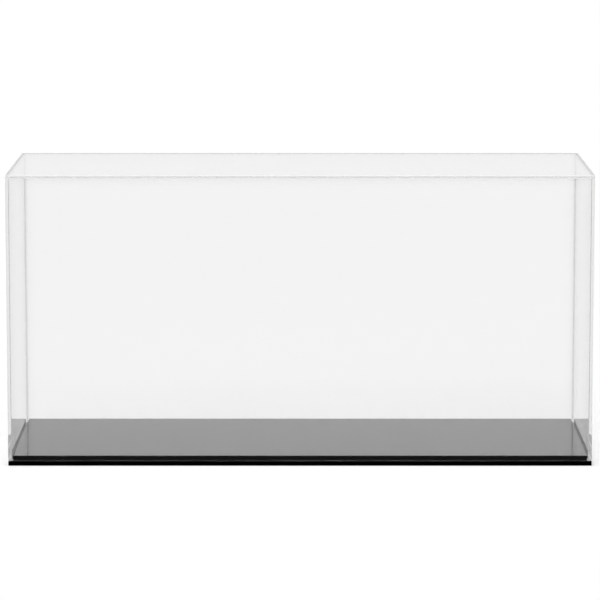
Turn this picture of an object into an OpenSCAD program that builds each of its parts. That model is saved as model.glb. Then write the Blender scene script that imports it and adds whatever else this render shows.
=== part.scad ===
// Display case: a clear five-panel cover that lifts off a black two-layer base.
// The origin is the middle of the underside. +X is to the right, the front faces -Y, +Z is up.

/* [Case] */
// Overall width, left to right
case_w = 400; // [160:1:600]
// Overall depth, front to back
case_d = 150; // [80:1:300]
// Overall height, from the underside of the base to the top of the cover
case_h = 200; // [60:1:400]

/* [Cover] */
// Thickness of the clear sheet that the five panels are cut from
panel_t = 2; // [1.5:0.1:6]
// Running gap between the cover's walls and the raised plate, on each side
cover_gap = 1; // [0.2:0.1:3]

/* [Base] */
// Thickness of the base plate, whose rim carries the cover
base_t = 3.5; // [2:0.1:8]
// Thickness of the raised plate, which is the display floor and keeps the cover in place
raised_t = 3; // [2:0.1:8]

/* [Edges] */
// Width of the small flat that takes the sharpness off each outer edge
edge_ease = 0.3; // [0.1:0.05:0.8]

/* [Bonding film] */
// Thickness of the double-sided film between the two plates
film_t = 0.1; // [0.05:0.05:0.5]
// Width of each strip of film
film_w = 12; // [5:1:25]
// Distance from the raised plate's edge to the film
film_inset = 3; // [1:0.5:8]

/* [Hidden] */

clear_colour = [0.84, 0.89, 0.91, 0.35];
black_colour = [0.05, 0.05, 0.055];
film_colour = [0.85, 0.84, 0.8];

// The walls stand on the base plate's rim and carry the top panel
wall_h = case_h - panel_t - base_t;
// The side panels fit between the front and back panels
side_d = case_d - 2 * panel_t;

// The raised plate fills the cover's inside, less the running gap all round
raised_w = case_w - 2 * (panel_t + cover_gap);
raised_d = case_d - 2 * (panel_t + cover_gap);
raised_z = base_t + film_t;

// The film runs round the raised plate's underside as four butted strips
film_outer_w = raised_w - 2 * film_inset;
film_outer_d = raised_d - 2 * film_inset;
film_side_d = film_outer_d - 2 * film_w;

// Outline of a rectangle, centred on the origin, with its four corners cut off by a small flat
function eased_outline(w, h, ease) = [
    [-w / 2 + ease, -h / 2],
    [w / 2 - ease, -h / 2],
    [w / 2, -h / 2 + ease],
    [w / 2, h / 2 - ease],
    [w / 2 - ease, h / 2],
    [-w / 2 + ease, h / 2],
    [-w / 2, h / 2 - ease],
    [-w / 2, -h / 2 + ease]
];

// A plate or block that stands on z = 0, with all twelve edges eased
module eased_block(w, d, h) {
    translate([0, 0, h / 2])
    intersection() {
        linear_extrude(h, center = true)
        polygon(eased_outline(w, d, edge_ease));

        rotate([90, 0, 0])
        linear_extrude(d, center = true)
        polygon(eased_outline(w, h, edge_ease));

        rotate([90, 0, 90])
        linear_extrude(w, center = true)
        polygon(eased_outline(d, h, edge_ease));
    }
}

// A clear panel: the box it fills, cut to the whole case's eased outer shape,
// so that only the edges on the outside are eased and the welded edges stay square
module clear_panel(size, centre, foot_z) {
    color(clear_colour)
    intersection() {
        translate([centre.x, centre.y, foot_z + size.z / 2])
        cube(size, center = true);

        eased_block(case_w, case_d, case_h);
    }
}

// A strip of film on the base plate
module film_strip(w, d, centre) {
    color(film_colour)
    translate([centre.x, centre.y, base_t])
    linear_extrude(film_t)
    square([w, d], center = true);
}

module base_plate() {
    color(black_colour)
    eased_block(case_w, case_d, base_t);
}

module raised_plate() {
    color(black_colour)
    translate([0, 0, raised_z])
    eased_block(raised_w, raised_d, raised_t);
}

// The front and back strips run the full width, and the side strips fit between them
module bond_film_front() {
    film_strip(film_outer_w, film_w, [0, -(film_outer_d - film_w) / 2]);
}

module bond_film_back() {
    film_strip(film_outer_w, film_w, [0, (film_outer_d - film_w) / 2]);
}

module bond_film_left() {
    film_strip(film_w, film_side_d, [-(film_outer_w - film_w) / 2, 0]);
}

module bond_film_right() {
    film_strip(film_w, film_side_d, [(film_outer_w - film_w) / 2, 0]);
}

module front_panel() {
    clear_panel([case_w, panel_t, wall_h], [0, -(case_d - panel_t) / 2], base_t);
}

module back_panel() {
    clear_panel([case_w, panel_t, wall_h], [0, (case_d - panel_t) / 2], base_t);
}

module left_panel() {
    clear_panel([panel_t, side_d, wall_h], [-(case_w - panel_t) / 2, 0], base_t);
}

module right_panel() {
    clear_panel([panel_t, side_d, wall_h], [(case_w - panel_t) / 2, 0], base_t);
}

// The top panel lies over all four walls
module top_panel() {
    clear_panel([case_w, case_d, panel_t], [0, 0], case_h - panel_t);
}

base_plate();
raised_plate();
bond_film_front();
bond_film_back();
bond_film_left();
bond_film_right();
front_panel();
back_panel();
left_panel();
right_panel();
top_panel();
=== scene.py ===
import math

import bmesh
import bpy
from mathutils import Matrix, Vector


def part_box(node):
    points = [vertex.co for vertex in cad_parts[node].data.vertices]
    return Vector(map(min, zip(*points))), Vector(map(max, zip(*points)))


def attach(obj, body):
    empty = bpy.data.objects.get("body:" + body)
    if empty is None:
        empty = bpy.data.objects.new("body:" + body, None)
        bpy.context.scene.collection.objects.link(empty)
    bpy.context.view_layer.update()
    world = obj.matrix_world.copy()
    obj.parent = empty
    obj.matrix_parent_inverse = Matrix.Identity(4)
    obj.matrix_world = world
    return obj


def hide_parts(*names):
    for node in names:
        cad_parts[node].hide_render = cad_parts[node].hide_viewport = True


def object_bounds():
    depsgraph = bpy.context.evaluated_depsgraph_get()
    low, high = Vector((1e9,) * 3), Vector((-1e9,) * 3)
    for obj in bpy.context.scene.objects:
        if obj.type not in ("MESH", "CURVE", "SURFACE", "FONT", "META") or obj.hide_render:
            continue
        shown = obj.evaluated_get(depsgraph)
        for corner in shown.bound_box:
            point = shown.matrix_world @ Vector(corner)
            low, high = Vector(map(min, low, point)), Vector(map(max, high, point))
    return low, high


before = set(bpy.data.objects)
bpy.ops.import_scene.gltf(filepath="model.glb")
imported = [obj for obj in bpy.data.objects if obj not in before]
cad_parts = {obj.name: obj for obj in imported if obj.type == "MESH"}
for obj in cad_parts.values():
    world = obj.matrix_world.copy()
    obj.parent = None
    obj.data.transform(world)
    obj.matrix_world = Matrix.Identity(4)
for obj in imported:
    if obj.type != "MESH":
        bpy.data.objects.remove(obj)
cadLow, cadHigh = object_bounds()

# the clear cover's outer box, and the thickness of its sheet
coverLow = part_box("front_panel")[0]
topLow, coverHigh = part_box("top_panel")
sheet = coverHigh.z - topLow.z


# modelling by hand

def letGo():
    if bpy.context.object and bpy.context.object.mode != "OBJECT":
        bpy.ops.object.mode_set(mode="OBJECT")
    bpy.ops.object.select_all(action="DESELECT")


def startBlock(name, low, high):
    # a cube stretched between two corners, left open in edit mode
    letGo()
    bpy.ops.mesh.primitive_cube_add(size=1)
    block = bpy.context.object
    block.name = block.data.name = name
    bpy.ops.object.mode_set(mode="EDIT")
    bpy.ops.mesh.select_all(action="SELECT")
    bpy.ops.transform.resize(value=high - low)
    bpy.ops.transform.translate(value=(low + high) / 2)
    return block


def pickEdges(block, wanted):
    # selects the edges whose two ends pass the test
    bpy.ops.mesh.select_all(action="DESELECT")
    bpy.ops.mesh.select_mode(type="EDGE")
    mesh = bmesh.from_edit_mesh(block.data)
    for edge in mesh.edges:
        edge.select = wanted(*(corner.co for corner in edge.verts))
    mesh.select_flush_mode()
    bmesh.update_edit_mesh(block.data)


def pickFaces(block, wanted):
    # selects the faces whose normal and middle pass the test
    bpy.ops.mesh.select_all(action="DESELECT")
    bpy.ops.mesh.select_mode(type="FACE")
    mesh = bmesh.from_edit_mesh(block.data)
    mesh.normal_update()
    for face in mesh.faces:
        face.select = wanted(face.normal, face.calc_center_median())
    mesh.select_flush_mode()
    bmesh.update_edit_mesh(block.data)


def closeBlock(smoothAngle):
    # ends the work that startBlock began
    bpy.ops.mesh.select_all(action="SELECT")
    bpy.ops.mesh.normals_make_consistent(inside=False)
    bpy.ops.object.mode_set(mode="OBJECT")
    bpy.ops.object.shade_smooth_by_angle(angle=math.radians(smoothAngle))
    letGo()


# shader maths written as sums

class Wire:
    # one output socket that can be added, multiplied and so on
    def __init__(self, bench, socket):
        self.bench = bench
        self.socket = socket

    def work(self, operation, first, second=None):
        inputs = {0: first} if second is None else {0: first, 1: second}
        return self.bench.add("ShaderNodeMath", {"operation": operation}, inputs)

    def __add__(self, other):
        return self.work("ADD", self, other)

    def __radd__(self, other):
        return self.work("ADD", other, self)

    def __rsub__(self, other):
        return self.work("SUBTRACT", other, self)

    def __mul__(self, other):
        return self.work("MULTIPLY", self, other)

    def __rmul__(self, other):
        return self.work("MULTIPLY", other, self)

    def __abs__(self):
        return self.work("ABSOLUTE", self)

    def __gt__(self, other):
        return self.work("GREATER_THAN", self, other)

    def orLess(self, other):
        return self.work("MINIMUM", self, other)

    def orMore(self, other):
        return self.work("MAXIMUM", self, other)


class Bench:
    # the node tree of one material, or of the world
    def __init__(self, tree):
        self.tree = tree
        tree.nodes.clear()

    def add(self, kind, settings=None, inputs=None, output=0):
        node = self.tree.nodes.new(kind)
        for name, value in (settings or {}).items():
            if name == "stops":
                self.setStops(node.color_ramp, value)
            else:
                setattr(node, name, value)
        for name, value in (inputs or {}).items():
            self.feed(node.inputs[name], value)
        return Wire(self, node.outputs[output]) if node.outputs else node

    def setStops(self, ramp, stops):
        while len(ramp.elements) > len(stops):
            ramp.elements.remove(ramp.elements[-1])
        while len(ramp.elements) < len(stops):
            ramp.elements.new(1)
        for element, (place, level) in zip(ramp.elements, stops):
            element.position = place
            element.color = grey(level)

    def feed(self, socket, value):
        if isinstance(value, Wire):
            self.tree.links.new(value.socket, socket)
        else:
            socket.default_value = value

    def slide(self, value, low, high, atLow=0.0, atHigh=1.0):
        # eases from atLow to atHigh while the value goes from low to high
        return self.add(
            "ShaderNodeMapRange",
            {"interpolation_type": "SMOOTHSTEP"},
            {"Value": value, "From Min": low, "From Max": high, "To Min": atLow, "To Max": atHigh},
        )

    def axes(self, vector):
        return [self.add("ShaderNodeSeparateXYZ", inputs={0: vector}, output=n) for n in range(3)]

    def place(self):
        return self.add("ShaderNodeTexCoord", output="Object")

    def ray(self, question):
        return self.add("ShaderNodeLightPath", output=question)

    def reflected(self):
        # 1 for a ray that has met a mirror-like face on its way
        return self.ray("Glossy Depth") > 0.5

    def grain(self, vector, scale, detail):
        return self.add(
            "ShaderNodeTexNoise", inputs={"Vector": vector, "Scale": scale, "Detail": detail}
        )

    def stretched(self, vector, scale):
        return self.add("ShaderNodeMapping", inputs={"Vector": vector, "Scale": scale})

    def bump(self, height, strength=1.0, distance=1.0):
        return self.add(
            "ShaderNodeBump",
            inputs={"Strength": strength, "Distance": distance, "Height": height},
        )

    def blend(self, share, first, second):
        # the first shader where the share is 0, the second where it is 1
        return self.add("ShaderNodeMixShader", inputs={0: share, 1: first, 2: second})

    def show(self, shader, output="ShaderNodeOutputMaterial"):
        self.add(output, inputs={"Surface": shader})


def newMaterial(name):
    material = bpy.data.materials.new(name)
    material.use_nodes = True
    return material, Bench(material.node_tree)


def grey(level):
    return (level, level, level, 1.0)


def uneven(level, spread, noise):
    # the level, give or take half the spread of it
    return level * (1 - spread / 2 + spread * noise)


# finishes; scales and pitches are counts per metre

acrylic = {
    "ior": 1.49,
    "tint": 1.0,          # what each face lets through
    "waves": 7.0,         # the long, faint waves of cast sheet
    "waver": 0.00002,     # and their height
    "specks": 60.0,       # uneven buffing along a sawn edge
    "edgeRough": 0.06,
    "edgeSpread": 0.5,
    "sawPitch": 900.0,
    "sawDepth": 0.000001,
    "sawStretch": (1.0, 1.0, 0.02),
    "shadowPass": 0.94,   # light that a sheet lets through to what is under it
    "jointShade": 0.082,       # painted shade: how much the clear sheet's colour is darkened, right beside a joint
    "jointShadeGap": 0.0001,   # it starts just clear of the welded faces
    "jointShadeReach": 0.007,  # and has faded out this far from them
}


def sawMarks(bench, place, pitch):
    # fine marks on an edge, drawn out along the height
    return bench.grain(bench.stretched(place, acrylic["sawStretch"]), pitch, detail=2.0)


# painted shade: darkens the clear sheet's colour softly towards each joint between panels
def paintedJointShade(bench, place):
    # how far a point is in from each of the cover's outer sides: its own panel's side
    # is the nearest, so the next nearest one is where that panel meets another
    across, along, up = bench.axes(place)
    ends = cadHigh.x - abs(across)
    sides = cadHigh.y - abs(along)
    joint = ends.orLess(sides).orMore(ends.orMore(sides).orLess(cadHigh.z - up))
    start = sheet + acrylic["jointShadeGap"]
    end = sheet + acrylic["jointShadeReach"]
    shadeFalloff = bench.add(
        "ShaderNodeMapRange",
        inputs={"Value": joint, "From Min": start, "From Max": end, "To Min": 1.0, "To Max": 0.0},
    )
    return acrylic["jointShade"] * shadeFalloff * shadeFalloff * (joint > start)


def clearAcrylic(name, tint, edge=False):
    material, bench = newMaterial(name)
    place = bench.place()
    if edge:
        specks = bench.grain(place, acrylic["specks"], detail=3.0)
        colour = grey(tint)
        height = sawMarks(bench, place, acrylic["sawPitch"]) * acrylic["sawDepth"]
        roughness = uneven(acrylic["edgeRough"], acrylic["edgeSpread"], specks)
    else:
        # the sheet's colour carries painted shade beside the joints
        colour = tint * (1 - paintedJointShade(bench, place))
        height = bench.grain(place, acrylic["waves"], detail=1.0) * acrylic["waver"]
        roughness = 0.0
    clear = bench.add(
        "ShaderNodeBsdfPrincipled",
        inputs={
            "Base Color": colour,
            "Roughness": roughness,
            "IOR": acrylic["ior"],
            "Transmission Weight": 1.0,
            "Normal": bench.bump(height),
        },
    )
    # light on its way to what lies under the sheet goes straight through
    passing = bench.add(
        "ShaderNodeBsdfTransparent", inputs={"Color": grey(acrylic["shadowPass"])}
    )
    bench.show(bench.blend(bench.ray("Is Shadow Ray"), clear, passing))
    return material


gloss = {
    "black": 0.0006,
    "waves": 6.0,
    "waver": 0.00003,
    "specks": 90.0,
    "faceRough": 0.02,
    "faceSpread": 0.8,
    "faceFrom": (0.55, 0.75),  # how squarely a surface must face up or down to be a gloss face
    "edgeRough": 0.5,
    "edgeSpread": 0.4,
    "edgeSpecular": 0.0,
    "sawPitch": 700.0,
    "sawDepth": 0.00001,
}


def blackAcrylic():
    # the faces keep the sheet's gloss, and the sawn edges are nearly matt
    material, bench = newMaterial("blackAcrylic")
    place = bench.place()
    normal = bench.add("ShaderNodeNewGeometry", output="Normal")
    upright = abs(bench.axes(normal)[2])
    specks = bench.grain(place, gloss["specks"], detail=3.0)
    waves = bench.grain(place, gloss["waves"], detail=1.0)
    marks = sawMarks(bench, place, gloss["sawPitch"])
    polished = bench.add(
        "ShaderNodeBsdfPrincipled",
        inputs={
            "Base Color": grey(gloss["black"]),
            "Roughness": uneven(gloss["faceRough"], gloss["faceSpread"], specks),
            "IOR": acrylic["ior"],
            "Normal": bench.bump(waves * gloss["waver"]),
        },
    )
    sawn = bench.add(
        "ShaderNodeBsdfPrincipled",
        inputs={
            "Base Color": grey(gloss["black"]),
            "Roughness": uneven(gloss["edgeRough"], gloss["edgeSpread"], marks),
            "IOR": acrylic["ior"],
            "Specular IOR Level": gloss["edgeSpecular"],
            "Normal": bench.bump(marks * gloss["sawDepth"]),
        },
    )
    bench.show(bench.blend(bench.slide(upright, *gloss["faceFrom"]), sawn, polished))
    return material


film = {
    "fibrePitch": 600.0,
    "fibreStretch": (1.0, 0.2, 1.0),
    "tones": ((0.3, 0.62), (0.7, 0.78)),
    "bump": 0.4,
    "bumpDepth": 0.00005,
    "rough": 0.55,
    "fibreRough": 0.2,    # added where the fibres stand up
}


def bondFilm():
    material, bench = newMaterial("bondFilm")
    drawn = bench.stretched(bench.place(), film["fibreStretch"])
    fibres = bench.grain(drawn, film["fibrePitch"], detail=4.0)
    tone = bench.add("ShaderNodeValToRGB", {"stops": film["tones"]}, {"Fac": fibres})
    skin = bench.add(
        "ShaderNodeBsdfPrincipled",
        inputs={
            "Base Color": tone,
            "Roughness": film["rough"] + film["fibreRough"] * fibres,
            "Normal": bench.bump(fibres, film["bump"], film["bumpDepth"]),
        },
    )
    bench.show(skin)
    return material


polishedSheet = clearAcrylic("polishedSheet", acrylic["tint"])
sawnEdge = clearAcrylic("sawnEdge", acrylic["tint"], edge=True)
blackSheet = blackAcrylic()
tape = bondFilm()
print("finishes made")


# the clear cover

cover = {
    "longArris": 0.00016,  # flat taken off the outside edges that run left to right
    "arris": 0.00003,      # and off all the other outside edges
    "weld": 0.00004,       # thickness of a weld line
    "sink": 0.00006,       # how far the walls press into the base, so that no gap shows
    "edgeSlack": 0.0002,   # an edge this near to two outer sides is an outside edge
    "faceSlack": 0.0004,   # a face this near to an outer side is open to the air
    "square": 0.99,        # a face more square than this to the panel is one of its two faces
    "smooth": 20,          # degrees between faces that are shaded as one
}


def runsAcross(a, b):
    # whether the edge between two points runs left to right
    return abs(a.x - b.x) > abs(a.y - b.y) + abs(a.z - b.z)


def sharedSides(points, slack):
    # how many of the cover's outer sides hold all the points
    sides = 0
    for axis in range(3):
        for limit in (coverLow[axis], coverHigh[axis]):
            sides += all(abs(point[axis] - limit) < slack for point in points)
    return sides


def clearPanel(node):
    # thin along one axis, polished on its two faces and sawn on its outer edges
    low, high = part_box(node)
    size = high - low
    thin = min(range(3), key=lambda axis: size[axis])
    for axis in range(3):
        if axis == thin:
            continue
        if abs(low[axis] - coverLow[axis]) > cover["weld"]:
            low[axis] += cover["weld"]
        if abs(high[axis] - coverHigh[axis]) > cover["weld"]:
            high[axis] -= cover["weld"]
    if node != "top_panel":
        low.z -= cover["sink"]
    panel = startBlock(node + "_clear", low, high)
    for across, arris in ((True, cover["longArris"]), (False, cover["arris"])):
        pickEdges(panel, lambda a, b: runsAcross(a, b) == across
                  and sharedSides((a, b), cover["edgeSlack"]) >= 2)
        bpy.ops.mesh.bevel(offset=arris, offset_type="OFFSET", segments=1, affect="EDGES")
    panel.data.materials.append(polishedSheet)
    panel.data.materials.append(sawnEdge)
    pickFaces(panel, lambda normal, middle: abs(normal[thin]) < cover["square"]
              and sharedSides((middle,), cover["faceSlack"]) >= 1)
    panel.active_material_index = 1
    bpy.ops.object.material_slot_assign()
    closeBlock(cover["smooth"])
    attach(panel, "cover")
    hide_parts(node)
    return panel


panelNodes = ["front_panel", "back_panel", "left_panel", "right_panel", "top_panel"]
panels = [clearPanel(node) for node in panelNodes]
print("cover panels made:", len(panels))


# the cement in the four upright inside corners

cement = {
    "tint": 0.99,
    "legs": {"front": 0.0005, "back": 0.0008},  # how far a bead reaches along each panel
    "press": 0.00002,     # how far it sinks into the panels
    "foot": 0.0002,       # above the base
    "steps": 6,
    "hollow": 0.15,       # bevel profile, under 0.25 for a hollow face
    "bevel": 0.96,        # how much of the stick's width the hollow takes
    "tipSlack": 0.00001,
    "smooth": 50,
}
weldCement = clearAcrylic("weldCement", cement["tint"])


def cementBead(side, end):
    # a square stick in the corner, whose inner edge is bevelled to a hollow face
    leg, press = cement["legs"][end], cement["press"]
    sideLow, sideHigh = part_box(side + "_panel")
    endLow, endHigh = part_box(end + "_panel")
    inX, cornerX = (1, sideHigh.x) if side == "left" else (-1, sideLow.x)
    inY, cornerY = (1, endHigh.y) if end == "front" else (-1, endLow.y)
    root = Vector((cornerX - inX * press, cornerY - inY * press, sideLow.z + cement["foot"]))
    tip = Vector((cornerX + inX * leg, cornerY + inY * leg, sideHigh.z - cover["weld"]))
    low = Vector([min(pair) for pair in zip(root, tip)])
    high = Vector([max(pair) for pair in zip(root, tip)])
    bead = startBlock("cement_" + side + "_" + end, low, high)
    pickEdges(bead, lambda a, b: (a.xy - tip.xy).length + (b.xy - tip.xy).length
              < cement["tipSlack"])
    bpy.ops.mesh.bevel(offset=(leg + press) * cement["bevel"], offset_type="OFFSET",
                       segments=cement["steps"], profile=cement["hollow"], affect="EDGES")
    bead.data.materials.append(weldCement)
    closeBlock(cement["smooth"])
    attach(bead, "cover")
    return bead


beads = [cementBead(side, end) for side in ("left", "right") for end in ("front", "back")]
print("cement beads made:", len(beads))


# the base, from the CAD

def dress(node, material):
    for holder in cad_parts[node].material_slots:
        holder.link = "OBJECT"
        holder.material = material


for node in ("base_plate", "raised_plate"):
    dress(node, blackSheet)
for node in ("bond_film_front", "bond_film_back", "bond_film_left", "bond_film_right"):
    dress(node, tape)
print("base dressed")


# the studio

studio = {
    "floorSize": 30.0,
    "floorDrop": 0.0002,
    "floorPaint": 0.8,
    "floorLift": 0.26,           # added for what the camera sees, so that the floor is white
    "fill": 0.45,                # the world's light on the object
    "backdrop": (0.5, 0.95),     # how squarely a reflection must point back to find the white
    "backWhite": (0.87, 0.97),   # the white near the horizon, and higher up
    "backRise": (0.12, 0.18),    # slopes between which the one turns into the other
    "backLow": 0.935,            # the white below the horizon
    "backDip": (-0.02, 0.06),
    "front": 0.22,               # the dim room in front
    "frontLow": 0.08,            # and the dark low down in it
    "frontFall": (0.16, 0.19),
    "sides": 0.65,
    "sideways": (0.8, 0.97),     # how squarely a reflection must point sideways to find them
    "overhead": 1.06,
    "overheadRise": (0.15, 0.5),
}


def reflectedStudio(bench):
    # what a reflection finds: white behind and overhead, the sides, and the dim room in front
    across, along, up = bench.axes(bench.add("ShaderNodeTexCoord", output="Generated"))
    dip = studio["backLow"] - studio["backWhite"][0]
    back = bench.slide(up, *studio["backRise"], *studio["backWhite"])
    back = back + bench.slide(up, *studio["backDip"], dip, 0.0)
    dim = bench.slide(0 - up, *studio["frontFall"], studio["front"], studio["frontLow"])
    beside = bench.slide(abs(across), *studio["sideways"])
    room = dim * (1 - beside) + beside * studio["sides"]
    turned = bench.slide(along, *studio["backdrop"])
    level = room * (1 - turned) + back * turned
    high = bench.slide(up, *studio["overheadRise"])
    return level * (1 - high) + high * studio["overhead"]


def makeWorld():
    world = bpy.data.worlds.new("studio")
    world.use_nodes = True
    bpy.context.scene.world = world
    bench = Bench(world.node_tree)
    seen = bench.ray("Is Camera Ray").orMore(bench.ray("Is Glossy Ray"))
    seen = seen.orMore(bench.ray("Is Transmission Ray"))
    reflected = bench.reflected()
    backdrop = reflectedStudio(bench) * reflected + (1 - reflected)
    strength = backdrop * seen + (1 - seen) * studio["fill"]
    light = bench.add("ShaderNodeBackground", inputs={"Color": grey(1.0), "Strength": strength})
    bench.show(light, "ShaderNodeOutputWorld")


def floorPaint():
    # white to the eye and through the clear sheet, with the object's shadow on it,
    # and left out of what a gloss face reflects
    material, bench = newMaterial("floorPaint")
    seen = bench.ray("Is Camera Ray").orMore(bench.ray("Is Transmission Ray"))
    paint = bench.add(
        "ShaderNodeBsdfPrincipled",
        inputs={
            "Base Color": grey(studio["floorPaint"]),
            "Roughness": 1.0,
            "Specular IOR Level": 0.0,
            "Emission Color": grey(1.0),
            "Emission Strength": seen * studio["floorLift"],
        },
    )
    away = bench.add("ShaderNodeBsdfTransparent")
    bench.show(bench.blend(bench.reflected(), paint, away))
    return material


def makeFloor():
    letGo()
    bpy.ops.mesh.primitive_plane_add(size=studio["floorSize"])
    floor = bpy.context.object
    floor.name = "floor"
    bpy.ops.object.mode_set(mode="EDIT")
    bpy.ops.transform.translate(value=(0, 0, cadLow.z - studio["floorDrop"]))
    bpy.ops.object.mode_set(mode="OBJECT")
    floor.data.materials.append(floorPaint())
    letGo()


lamp = {"from": (-0.5, -0.9, 1.6), "spread": 70, "strength": 1.8}


def makeLamp():
    # one wide, soft light from over the front
    softLight = bpy.data.lights.new("softLight", "SUN")
    softLight.angle = math.radians(lamp["spread"])
    softLight.energy = lamp["strength"]
    holder = bpy.data.objects.new("softLight", softLight)
    bpy.context.scene.collection.objects.link(holder)
    holder.location = lamp["from"]
    holder.rotation_euler = Vector(lamp["from"]).to_track_quat("Z", "Y").to_euler()


camera = {
    "place": (0, -2.4335, 0.4549),
    "pitch": 8.206,
    "lens": 209.95,
    "sensor": 36,
    "clip": (0.05, 100),
}


def makeCamera():
    lens = bpy.data.cameras.new("camera")
    lens.lens = camera["lens"]
    lens.sensor_width = camera["sensor"]
    lens.clip_start, lens.clip_end = camera["clip"]
    holder = bpy.data.objects.new("camera", lens)
    bpy.context.scene.collection.objects.link(holder)
    holder.location = camera["place"]
    holder.rotation_euler = (math.radians(90 - camera["pitch"]), 0, 0)
    bpy.context.scene.camera = holder


makeWorld()
makeFloor()
makeLamp()
makeCamera()

scene = bpy.context.scene
scene.view_settings.view_transform = "Standard"
scene.cycles.max_bounces = 48
scene.cycles.transmission_bounces = 48
scene.cycles.glossy_bounces = 32
scene.cycles.diffuse_bounces = 3
scene.cycles.transparent_max_bounces = 32
print("studio made")
